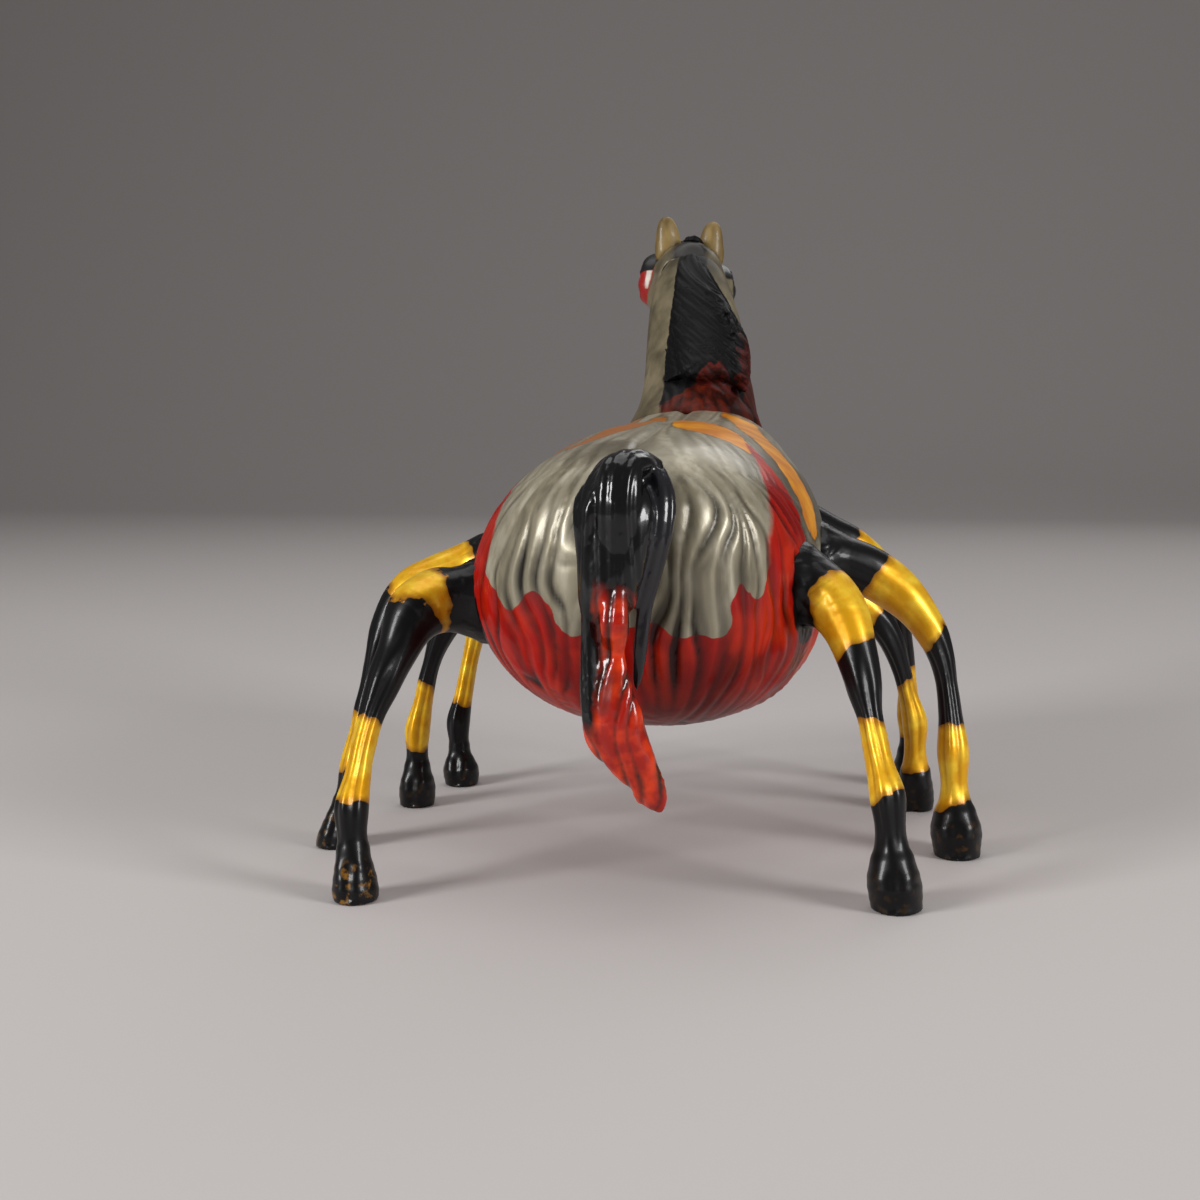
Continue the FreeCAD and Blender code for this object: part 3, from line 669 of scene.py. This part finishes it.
normals = normals_of(points, faces)
along = points @ head_ahead
head_seat = points[along < along.min() + 1.5].mean(axis=0)
local = points - head_seat
way, right, crown = local @ head_ahead, local @ head_right, local @ head_crown
way = way - way.min()
wide = np.abs(right)
on_left = right < 0
eyes = {name: solid_of(name)[0].mean(axis=0) for name in ("left_eye", "right_eye")}
carve = swell_height * noise(points / 3, 31)
for (a, r, c), radius, height in head_forms.values():
    carve += height * np.exp(-((way - a) ** 2 + (wide - r) ** 2 + (crown - c) ** 2) / radius ** 2)
carve -= mouth_depth * hump(crown, mouth_level, 0.30) * ramp(way, 20.5, 22.5)
socket = np.hypot(way - eye_along, (crown - np.where(on_left, 1.1, 0.6)) / 1.12) * np.where(on_left, 1, 1.12)
lids = np.where(on_left, 2.7, 2.3) * np.exp(-(socket / lid_radius) ** 6)
lids = lids - lid_hollow_depth * np.exp(-(socket / lid_hollow_radius) ** 4)
carve += (1 - 0.8 * ramp(way, 8.5, 12.5)) * lids * ramp(wide, 2.2, 3.6)
points = points + normals * carve[:, None]

# The paint on the lids stays on the rear half of each
lid = np.where(wide > 2.6, 4.1 - socket, -3)
reach = np.abs((points - head_seat) @ head_right)
rise = points[:, 2] - eyes["left_eye"][2]
cheek = np.where(on_left, np.minimum(lid, 9.4 - way), -3)
white = np.minimum(np.minimum(cheek - 0.2, reach[on_left].max() - 1.0 - reach), 1.4 - np.abs(rise - 0.6))
lid_top = rise - 1.9 + 0.9 * np.clip(3.3 - socket, 0, 1)
rim = np.maximum(reach - reach[~on_left].max() + 0.4, points[:, 2] - eyes["right_eye"][2] - 1.7)
black_eye = np.minimum(np.where(on_left, lid_top, rim), 9.8 - way)
black_eye = np.minimum(lid, np.maximum(black_eye, 2.5 - socket))
poll = np.minimum(np.minimum(2.8 - np.abs(points[:, 0] + 1.3), points[:, 2] - 75.5), 5 - way)

# Small patches of acrylic under thin lacquer: each lid shines a little, and the taupe stays dull
head_paint, tree = new_material("taupe_black_white_and_red_lacquer")
clouds = add(tree, "MapRange", grain(tree, 4, 3), 0.35, 0.65)
tone = add(tree, "MixRGB", clouds, linear("#4d4636"), linear("#776d56"))
for name, wave_mm, sway, low, high, colour in (
        ("cheek", 2, 0.3, -0.1, 0.1, "#93140d"), ("white", 2, 0.3, -0.1, 0.1, "#cfc9bd"),
        ("black_eye", 1.5, 0.3, -0.1, 0.1, "#0c0a0a"), ("muzzle", 2, 0.6, -0.6, 0.6, "#141110"),
        ("poll", 1.5, 0.4, -0.5, 0.6, "#16120e")):
    patch = add(tree, "MapRange", wobbled(tree, name, wave_mm, sway), low, high)
    tone = add(tree, "MixRGB", patch, tone, linear(colour))
groove = add(tree, "Attribute", out="Fac", attribute_name="hollow")
tone = add(tree, "MixRGB", add(tree, "MapRange", groove, 0.12, 0.5), tone, linear("#120d0b"))
shader = add(tree, "BsdfPrincipled", Base_Color=tone, Roughness=0.4, Specular_IOR_Level=0.35,
             Coat_Weight=0.15, Coat_Roughness=0.15)
add(tree, "OutputMaterial", shader)
make_piece("head_casting", points, faces, head_paint, "head_paint", ["head"],
           hollow=np.clip(-carve, 0, 1), white=white, cheek=cheek, black_eye=black_eye,
           muzzle=way - 21.5, poll=poll)

# Ears. Two round-tipped leaves of resin with a cupped front, glued in the top of the head. Their
# roots swell a little, where the filler round them was smoothed by hand.
cup_depth, root_swell, lift = 0.75, 0.55, 0.15

# Ochre brushed thinly over taupe, with little lacquer: warm and streaky, with a soft broad highlight
ear_paint, tree = new_material("ochre_taupe_lacquer")
groove = add(tree, "Attribute", out="Fac", attribute_name="hollow")
bristles = add(tree, "MapRange", grain(tree, 2, 3, (1, 1, 0.3)), 0.35, 0.65)
tone = add(tree, "MixRGB", bristles, linear("#5c4a28"), linear("#8a7446"))
tone = add(tree, "MixRGB", add(tree, "MapRange", groove, 0.15, 0.6), tone, linear("#33210f"))
shader = add(tree, "BsdfPrincipled", Base_Color=tone, Roughness=0.48, Specular_IOR_Level=0.3,
             Coat_Weight=0.1)
add(tree, "OutputMaterial", shader)
for name in ("left_ear", "right_ear"):
    points, faces = skin([solid_of(name)], voxel=0.18, rounds=2)
    normals = normals_of(points, faces)
    rise = points[:, 2] - (points[:, 2].min() + points[:, 2].max()) / 2
    cup = cup_depth * ramp(normals @ head_ahead, 0.2, 0.9) * hump(rise, -0.3, 2.4)
    carve = lift + root_swell * ramp(-rise, -0.5, 3.0) - cup
    make_piece(name + "_casting", points + normals * carve[:, None], faces, ear_paint, "ear_paint", [name],
               hollow=cup)

# Eyes. Two round beads of black resin, polished, each glued in the middle of its lids. The red paint of
# the left lids runs on to that bead's back.

# Polished resin, black right through: deep and dark, with one small sharp highlight
bead_paint, tree = new_material("polished_black_bead")
red_back = add(tree, "MapRange", add(tree, "Attribute", out="Fac", attribute_name="lid"), -0.1, 0.1)
tone = add(tree, "MixRGB", red_back, linear("#060505"), linear("#8f0d07"))
shader = add(tree, "BsdfPrincipled", Base_Color=tone, Roughness=0.12, Coat_Weight=0.8, Coat_Roughness=0.05)
add(tree, "OutputMaterial", shader)
for name, centre in eyes.items():
    points, faces = skin([solid_of(name)], voxel=0.2, rounds=3)
    radius = np.linalg.norm(points - centre, axis=1).max()
    out = unit(points - centre)
    lid = np.minimum(0.25 - out @ head_ahead, 0.8 - out[:, 2])
    if name == "right_eye":
        lid = np.full(len(points), -1.0)
    make_piece(name + "_bead", centre + out * radius, faces, bead_paint, "eye_bead", [name], lid=lid)

# Tail. A resin casting on a steel pin in the rump: long locks of hair, black above, red below with a
# knot, the last one twisted. Each lock is a tapered run of rings, all become one skin with the plain
# solid, and strands are cut along the nearest lock.

# For each lock: places of its middle with its half width, in millimetres, then how flat it is
tail_locks = {
    "black": ([(4.2, -46.5, 47.6, 1.6), (2.6, -50.0, 48.3, 2.1), (1.6, -52.6, 47.4, 2.5),
               (1.3, -53.6, 44.5, 2.7), (1.3, -53.6, 40.5, 2.5), (1.4, -53.6, 37.4, 2.0),
               (1.5, -53.9, 34.8, 1.6), (1.5, -54.2, 32.6, 1.0)], 0.8),
    "left": ([(0.4, -53.4, 47.0, 0.8), (-1.2, -54.2, 44.0, 1.0), (-1.6, -54.3, 40.0, 0.85),
              (-1.7, -54.3, 35.4, 0.9), (-1.4, -54.2, 30.2, 1.0), (-1.2, -54.6, 25.0, 1.2),
              (-1.0, -55.0, 21.6, 1.15), (-0.6, -54.9, 19.8, 0.8), (-0.2, -54.7, 18.5, 0.4)], 0.9),
    "grey": ([(4.7, -49.0, 47.4, 1.3), (5.7, -50.4, 44.8, 1.5), (5.7, -51.4, 41.4, 1.4),
              (4.9, -51.8, 37.4, 1.2), (4.0, -52.0, 33.4, 1.0), (3.6, -52.2, 29.4, 0.9),
              (3.4, -52.4, 26.2, 0.6), (3.2, -52.5, 24.4, 0.2)], 0.8),
    "red": ([(1.4, -54.0, 37.0, 1.0), (1.5, -54.8, 34.4, 1.5), (1.5, -55.3, 31.6, 1.9),
             (1.4, -54.3, 29.0, 1.0), (1.4, -54.5, 26.8, 1.6), (1.4, -54.4, 23.6, 2.5),
             (1.8, -54.1, 20.6, 2.9), (3.2, -53.7, 17.8, 2.4), (4.6, -53.2, 15.2, 2.0),
             (5.4, -52.8, 13.2, 1.3), (5.6, -52.6, 11.8, 0.5)], 0.75),
    "fold": ([(-1.0, -53.8, 22.4, 0.6), (-0.7, -53.7, 20.3, 1.0), (1.0, -53.6, 18.9, 1.0),
              (2.9, -53.3, 17.2, 0.9), (4.3, -52.9, 15.0, 0.8)], 0.9),
}
black_strands, red_strands, black_depth, red_depth = 0.85, 0.5, 0.26, 0.34
black_fine_depth, red_fine_depth, red_lumps, red_twist = 0.08, 0.04, 0.16, 5


# A smooth run of rows through the given ones
def smooth_run(rows, count):
    rows = np.array(rows, dtype=float)
    spots = np.linspace(0, len(rows) - 1, count)
    first = np.clip(spots.astype(int), 0, len(rows) - 2)
    share = (spots - first)[:, None]
    before = rows[np.maximum(first - 1, 0)]
    here, after = rows[first], rows[first + 1]
    beyond = rows[np.minimum(first + 2, len(rows) - 1)]
    squared = 2 * before - 5 * here + 4 * after - beyond
    cubed = 3 * here - before - 3 * after + beyond
    return 0.5 * (2 * here + (after - before) * share + squared * share ** 2 + cubed * share ** 3)


def lock(rows, flat, count=28, sides=12):
    run = smooth_run(rows, count)
    line, half = run[:, :3], np.maximum(run[:, 3], 0.05)
    ahead = unit(np.gradient(line, axis=0))
    right = unit(np.array((1.0, 0, 0)) - ahead * ahead[:, :1])
    deep = np.cross(ahead, right)
    points, faces = [line[0]], []
    for number in range(count):
        for side in range(sides):
            angle = 2 * math.pi * side / sides
            points.append(line[number] + half[number] * (math.cos(angle) * right[number]
                                                         + flat * math.sin(angle) * deep[number]))
    points.append(line[-1])
    last = 1 + (count - 1) * sides
    for side in range(sides):
        after = (side + 1) % sides
        faces.append((0, 1 + after, 1 + side))
        faces.append((len(points) - 1, last + side, last + after))
        for start in range(1, last, sides):
            faces.append((start + side, start + after, start + sides + after, start + sides + side))
    return np.array(points), faces, run


# For each point: the number of the lock that it lies closest to, for that lock's width, its share of
# the way along that lock, and its distance to the side
def nearest_lock(points, runs):
    best = np.full(len(points), np.inf)
    owner = np.zeros(len(points), dtype=int)
    share = np.zeros(len(points))
    aside = np.zeros(len(points))
    for number, run in enumerate(runs):
        line, half = run[:, :3], np.maximum(run[:, 3], 0.3)
        gaps = np.linalg.norm(points[:, None] - line[None], axis=2) / half[None]
        nearest = gaps.argmin(axis=1)
        gap = gaps[np.arange(len(points)), nearest]
        closer = gap < best
        best[closer] = gap[closer]
        owner[closer] = number
        out = points - line[nearest]
        ahead = unit(np.gradient(line, axis=0))[nearest]
        right = unit(np.array((1.0, 0, 0)) - ahead * ahead[:, :1])
        pitch = np.linalg.norm(line[1:] - line[:-1], axis=1).mean()
        part = np.clip((out * ahead).sum(axis=1) / pitch, -0.5, 0.5)
        share[closer] = ((nearest + part) / (len(run) - 1))[closer]
        aside[closer] = (out * right).sum(axis=1)[closer]
    return owner, share, aside


# The plain solid is thinned under its locks, most of all behind the knot and at the tip
core, core_faces = skin([solid_of("tail")], voxel=0.4, rounds=2)
thinned = 0.45 + 0.9 * window(core[:, 2], 24, 32.5, 1.5) + 0.6 * (1 - ramp(core[:, 2], 11, 16))
hair_solids = [(core - normals_of(core, core_faces) * thinned[:, None], core_faces.tolist())]
runs = []
for rows, flat in tail_locks.values():
    lock_points, lock_faces, run = lock(rows, flat)
    hair_solids.append((lock_points, lock_faces))
    runs.append(run)
points, faces = skin(hair_solids, voxel=0.25, rounds=4)
normals = normals_of(points, faces)
owner, share, aside = nearest_lock(points, runs)
black_lock, left_lock, grey_lock, red_lock, fold_lock = range(len(tail_locks))
in_red = owner >= red_lock
red_turn = red_twist * np.maximum(share - 0.35, 0)
twist = np.where(in_red, aside * red_strands + red_turn, aside * black_strands)
sway = noise(np.stack([twist, share * 2.5, owner * 5.0], 1), 41)
strands = valleys(twist + 0.5 * sway + owner * 0.37)
fine = valleys(2.3 * twist + 0.8 * sway)
carve = -np.where(in_red, red_depth, black_depth) * strands
carve -= np.where(in_red, red_fine_depth, black_fine_depth) * fine
carve += red_lumps * noise(points / 2.6, 42) * in_red
carve = soothed(carve, faces, 1)

# The black lock turns red at its end, and the left lock and the fold each where they meet the red
height = points[:, 2]
fade = 1 - 2 * ramp(height + 0.4 * aside + 0.6 * noise(points / 1.2, 43), 32.8, 37.0)
red = np.where((owner == red_lock) | ((owner == black_lock) & (height < 37)), fade, -1.0)
red = np.where(owner == fold_lock, ramp(share, 0.15, 0.55) * 2 - 1, red)
red = np.where(owner == left_lock, 0.5 - 1.5 * ramp(height, 19.0, 22.5), red)
grey = np.where(owner == grey_lock, 1.0, -1.0)

# Black and orange red under the thickest lacquer of the figure: it looks wet, and each strand carries
# a narrow bright line of light
tail_paint, tree = new_material("black_and_red_hair_lacquer")
groove, greyness = (add(tree, "Attribute", out="Fac", attribute_name=name) for name in ("hollow", "grey"))
ink = add(tree, "MixRGB", add(tree, "MapRange", greyness, -0.6, 0.6), linear("#070709"), linear("#1d1c20"))
mottling = add(tree, "MapRange", grain(tree, 2.5, 3), 0.4, 0.62)
flame = add(tree, "MixRGB", mottling, linear("#981404"), linear("#d0370a"))
flame = add(tree, "MixRGB", add(tree, "MapRange", groove, 0.06, 0.26), flame, linear("#43140a"))
is_red = add(tree, "MapRange", wobbled(tree, "red", 1.2, 0.2), -0.8, 0.8)
tone = add(tree, "MixRGB", is_red, ink, flame)
shader = add(tree, "BsdfPrincipled", Base_Color=tone, Roughness=0.27, Specular_IOR_Level=0.22,
             Coat_Weight=0.5, Coat_Roughness=0.07)
add(tree, "OutputMaterial", shader)
make_piece("tail_casting", points + normals * carve[:, None], faces, tail_paint, "tail_paint", ["tail"],
           hollow=np.clip(-carve, 0, 1), red=soothed(red, faces, 3), grey=soothed(grey, faces, 3))

# Mane. A crest of hair cast in resin and glued along the neck. Its locks fall from the crest down and
# to the right, its edges are smoothed into the neck, and its lower ends are red.
lock_count, lock_pitch, lock_steps, lock_fall, lock_half = 17, 1.05, 6, 8.5, 0.95
strand_depth, strand_pitch = 0.20, 1.1
sink, deepest_sink = 0.35, 1.6
fringe_left, fringe_top = 8.2, 66.5
mane_points, mane_faces = solid_of("mane")
mane_tree = BVHTree.FromPolygons([tuple(point) for point in mane_points], mane_faces)
heights = np.linspace(mane_points[:, 2].min() + 0.5, mane_points[:, 2].max() - 0.3, 24)
slabs = [mane_points[np.abs(mane_points[:, 2] - height) < 1.6, 0] for height in heights]
lefts, rights = [slab.min() for slab in slabs], [slab.max() for slab in slabs]

# Each lock starts lower and further right on the crest than the last, and lies on its skin
rng = np.random.default_rng(7)
hair_solids = [(mane_points, mane_faces)]
runs = []
for number in range(lock_count):
    top = mane_points[:, 2].max() - 0.8 - number * lock_pitch
    start = -0.02 + 0.02 * number
    fall = lock_fall + rng.uniform(-1.2, 1.2)
    rows = []
    for step in range(lock_steps + 1):
        part = step / lock_steps
        z = top - fall * part
        low, high = np.interp(z, heights, lefts), np.interp(z, heights, rights)
        place = np.clip(start + (1.02 - start) * (part ** 1.15) * 0.96, 0.04, 0.97)
        x = low + (high - low) * place
        hit = mane_tree.ray_cast((x, -200, z), (0, 1, 0))[0]
        if hit is None:
            hit = mane_tree.find_nearest((x, mane_points[:, 1].min() + 3, z))[0]
        taper = 0.55 + 0.9 * math.sin(math.pi * min(1, part + 0.18))
        rows.append((hit[0], hit[1], z, max(0.25, (lock_half + rng.uniform(-0.1, 0.15)) * taper)))
    lock_points, lock_faces, run = lock(rows, 0.7)
    hair_solids.append((lock_points, lock_faces))
    runs.append(run)
points, faces = skin(hair_solids, voxel=0.24, rounds=5)
normals = normals_of(points, faces)
owner, share, aside = nearest_lock(points, runs)

# The edges and the lower end merge into the neck's skin and lose their strands there
lowest = points[:, 2].min()
left_edge = np.interp(points[:, 2], (58, 66, 76.2, 77.5), (-3.3, -2.9, -2.5, -1.8))
right_edge = np.interp(points[:, 2], (61.5, 64, 67.1, 69.6, 73.2, 75.8, 77),
                       (12, 9.3, 7.7, 6.1, 3.6, 1.9, 0.6))
beyond = np.maximum(left_edge - points[:, 0], points[:, 0] - right_edge) + 0.15 * noise(points / 1.5, 55)
merge = 1 - ramp(points[:, 2] + 0.5 * noise(points / 2, 53), lowest + 0.3, lowest + 4.0)
merge = np.maximum(merge, ramp(beyond, -0.4, 0.6))
for number in np.flatnonzero(merge > 0.01):
    spot, under, _, _ = neck_tree.find_nearest(tuple(points[number]))
    drop = np.array(spot) - sink * np.array(under) - points[number]
    points[number] += drop * merge[number] * min(1, deepest_sink / max(0.1, np.linalg.norm(drop)))
fray = window(points[:, 2], 63, 71, 1.5) * ramp(points[:, 0], 3.5, 5.5)
fray = np.maximum(fray, np.maximum(hump(beyond, 0.2, 0.8), 1 - ramp(points[:, 2], lowest + 2, lowest + 6)))
points += (soothed(points, faces, 12) - points) * fray[:, None]
sway = noise(np.stack([aside, share * 2.2, owner * 5.0], 1), 51)
carve = -strand_depth * valleys(aside * strand_pitch + 0.5 * sway + owner * 0.37)
fringe = np.minimum(points[:, 0] - fringe_left + 1.0 * noise(points / 1.5, 54), fringe_top - points[:, 2])

# Black wash that dried nearly matte: strands show as faint soft lines, and the red ends as dull rust
mane_paint, tree = new_material("black_hair_lacquer_with_red_ends")
groove = add(tree, "Attribute", out="Fac", attribute_name="hollow")
mottling = add(tree, "MapRange", grain(tree, 1.5, 3), 0.4, 0.6)
ember = add(tree, "MixRGB", mottling, linear("#220705"), linear("#4c120a"))
ember = add(tree, "MixRGB", add(tree, "MapRange", groove, 0.05, 0.2), ember, linear("#230805"))
is_red = add(tree, "MapRange", wobbled(tree, "ends", 1.3, 0.25), -0.12, 0.12)
tone = add(tree, "MixRGB", is_red, linear("#060506"), ember)
shader = add(tree, "BsdfPrincipled", Base_Color=tone, Roughness=0.55, Specular_IOR_Level=0.15)
add(tree, "OutputMaterial", shader)
make_piece("mane_casting", points + normals * carve[:, None], faces, mane_paint, "mane_paint", ["mane"],
           hollow=np.clip(-carve, 0, 1), ends=np.maximum(fringe, hair_end(points)))

# Forelock. A short tuft of resin hair, glued between the ears, with its strands along the head and the
# mane's black paint on it.
points, faces = skin([solid_of("forelock")], voxel=0.16, rounds=2)
normals = normals_of(points, faces)
strands = noise(np.stack([points @ head_right * 2.4, points @ head_ahead / 5, points @ head_crown], 1), 61)
carve = -0.16 * hump(strands, 0, 0.16)
make_piece("forelock_casting", points + normals * carve[:, None], faces, mane_paint, "mane_paint",
           ["forelock"], hollow=-carve, ends=np.full(len(points), -1.0))

rows = [[[float(number) for number in corner] for corner in box] for box in (cad_box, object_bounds())]
